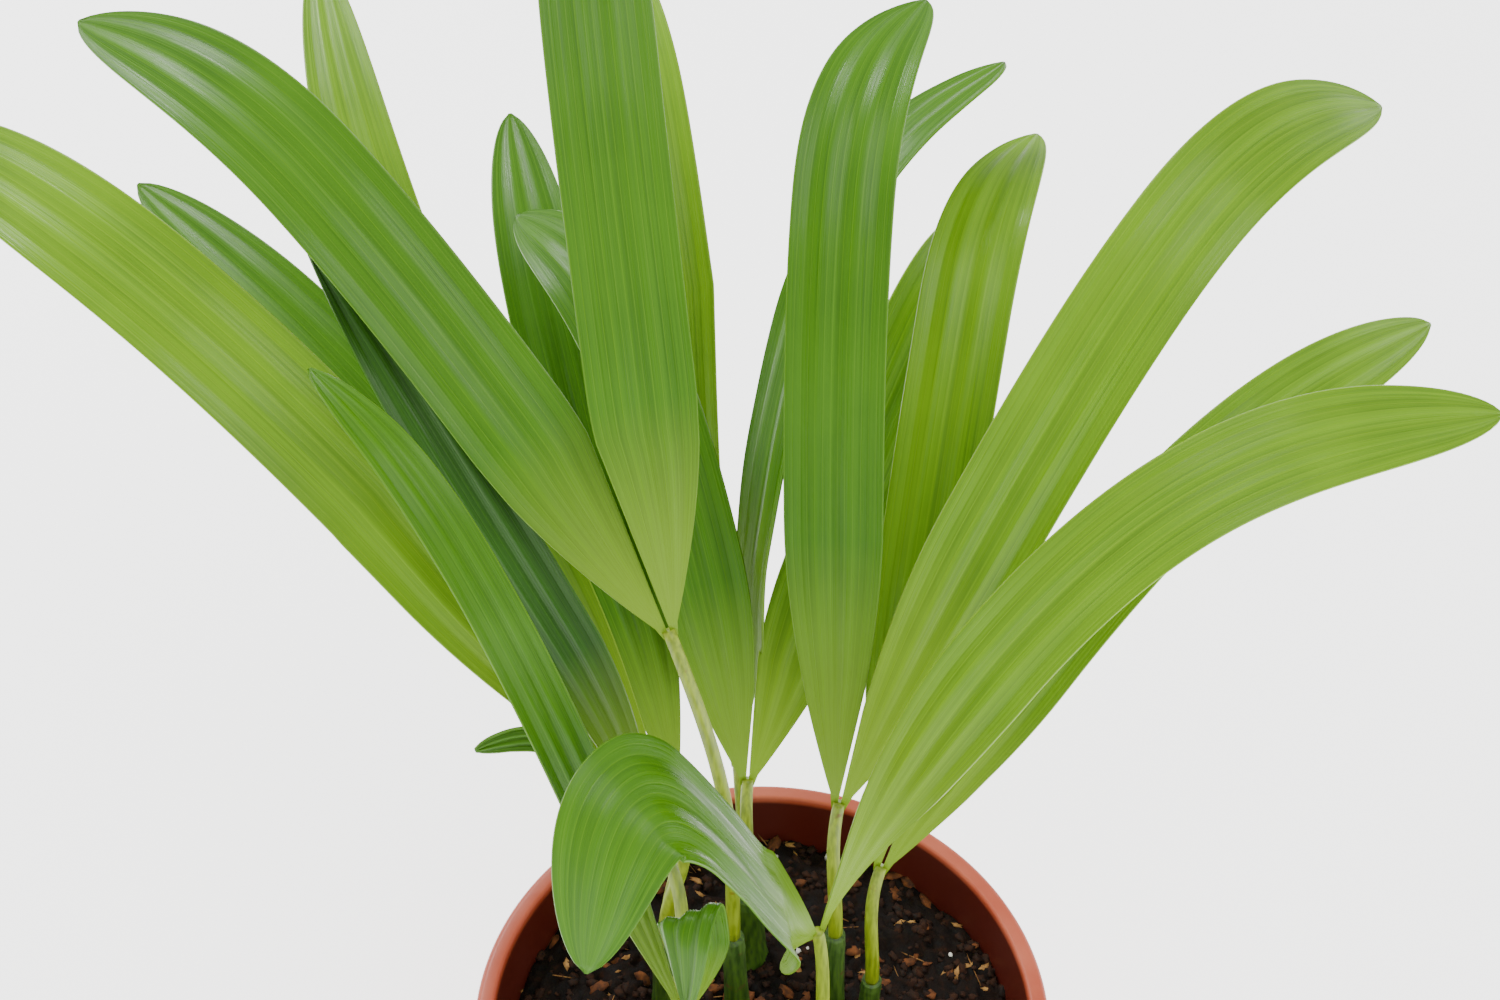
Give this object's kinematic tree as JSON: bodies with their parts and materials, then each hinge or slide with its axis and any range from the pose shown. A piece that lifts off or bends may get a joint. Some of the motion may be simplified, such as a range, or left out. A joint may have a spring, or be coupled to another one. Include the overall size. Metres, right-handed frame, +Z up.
{
  "type": "potted palm",
  "caption": "Young potted palm: arching pleated two-lobed fronds on slim stalks, rising from short sheathed stems in a soil-filled round nursery pot",
  "frame": {"origin": "centre of the pot's flat underside", "axes": "+Z up the plant; -Y towards the viewer of the picture, +X to the viewer's right"},
  "size_m": [0.3047, 0.2702, 0.3525],
  "materials": {
    "leaf": "satin leaf green, fine pleats, waxy gloss",
    "stalk": "smooth yellow-green",
    "sheath": "matte dark green",
    "pot_plastic": "terracotta-coloured moulded plastic",
    "potting_soil": "loose dark peat with bark and perlite"
  },
  "bodies": {
    "root": {"back_frond_left_lobe": "leaf", "back_frond_right_lobe": "leaf", "back_frond_stalk": "stalk", "back_stem": "sheath", "far_left_frond_left_lobe": "leaf", "far_left_frond_right_lobe": "leaf", "far_left_frond_stalk": "stalk", "front_left_frond_left_lobe": "leaf", "front_left_frond_right_lobe": "leaf", "front_left_frond_stalk": "stalk", "front_right_frond_left_lobe": "leaf", "front_right_frond_right_lobe": "leaf", "front_right_frond_stalk": "stalk", "front_stem": "sheath", "inner_frond_left_lobe": "leaf", "inner_frond_right_lobe": "leaf", "inner_frond_stalk": "stalk", "left_frond_left_lobe": "leaf", "left_frond_right_lobe": "leaf", "left_frond_stalk": "stalk", "left_stem": "sheath", "low_left_frond_left_lobe": "leaf", "low_left_frond_right_lobe": "leaf", "low_left_frond_stalk": "stalk", "low_left_stem": "sheath", "near_frond_left_lobe_lower": "leaf", "near_frond_left_lobe_upper": "leaf", "near_frond_right_lobe": "leaf", "near_frond_stalk": "stalk", "near_stem": "sheath", "pot": "pot_plastic", "right_frond_left_lobe": "leaf", "right_frond_right_lobe": "leaf", "right_frond_stalk": "stalk", "right_stem": "sheath", "soil": "potting_soil", "tall_frond_left_lobe": "leaf", "tall_frond_right_lobe": "leaf", "tall_frond_stalk": "stalk", "tall_stem": "sheath", "upper_left_frond_left_lobe": "leaf", "upper_left_frond_right_lobe": "leaf", "upper_left_frond_stalk": "stalk", "upright_frond_left_lobe": "leaf", "upright_frond_right_lobe": "leaf", "upright_frond_stalk": "stalk", "upright_stem": "sheath"}
  },
  "joints": []
}
